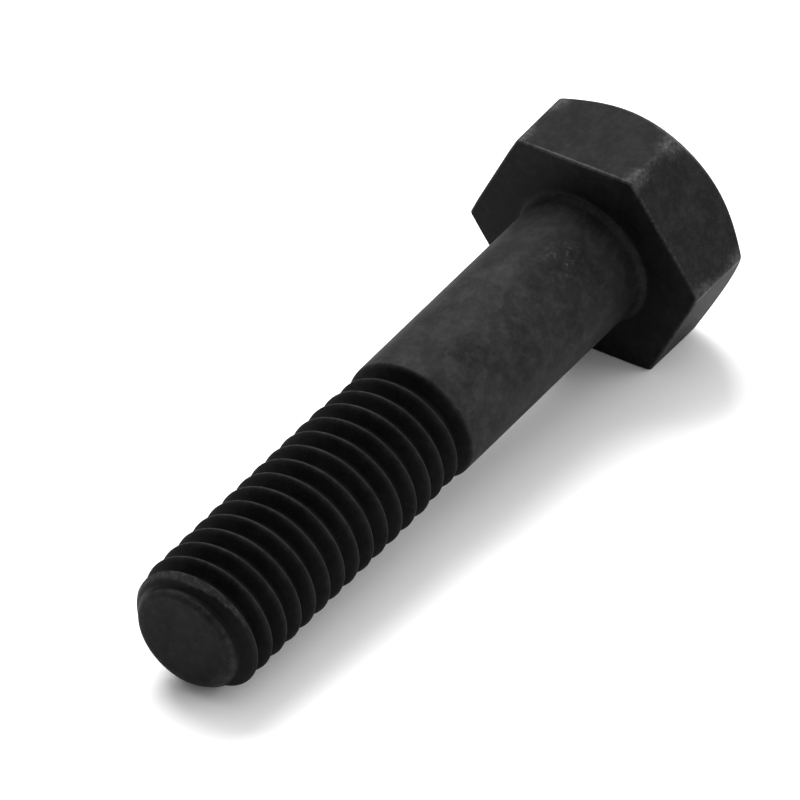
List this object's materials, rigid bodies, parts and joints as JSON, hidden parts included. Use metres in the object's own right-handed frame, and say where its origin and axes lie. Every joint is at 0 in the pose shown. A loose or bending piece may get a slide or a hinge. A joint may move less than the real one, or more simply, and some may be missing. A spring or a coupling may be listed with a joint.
{
  "type": "hex bolt",
  "caption": "Partly threaded metric hex bolt in black steel, with a chamfered hexagon head, a plain shank with a fillet under the head, a coarse right-hand thread and a chamfered flat tip.",
  "frame": {"origin": "on the bolt's axis, in the plane of the bearing face under the head", "axes": "+X along the bolt's axis from the bearing face towards the tip, the head is at -X; two of the six wrench flats face +Z and -Z, and corners of the hexagon point to +Y and -Y"},
  "size_m": [0.032, 0.0114, 0.01],
  "materials": {
    "steel_head": "black oxide forged steel, satin, edges worn lighter",
    "steel_shank": "black oxide drawn steel, satin, light scuffs",
    "steel_thread": "black oxide rolled thread, satin, crests worn lighter"
  },
  "bodies": {
    "root": {"hex_head": "steel_head", "plain_shank": "steel_shank", "threaded_shank": "steel_thread"}
  },
  "joints": []
}
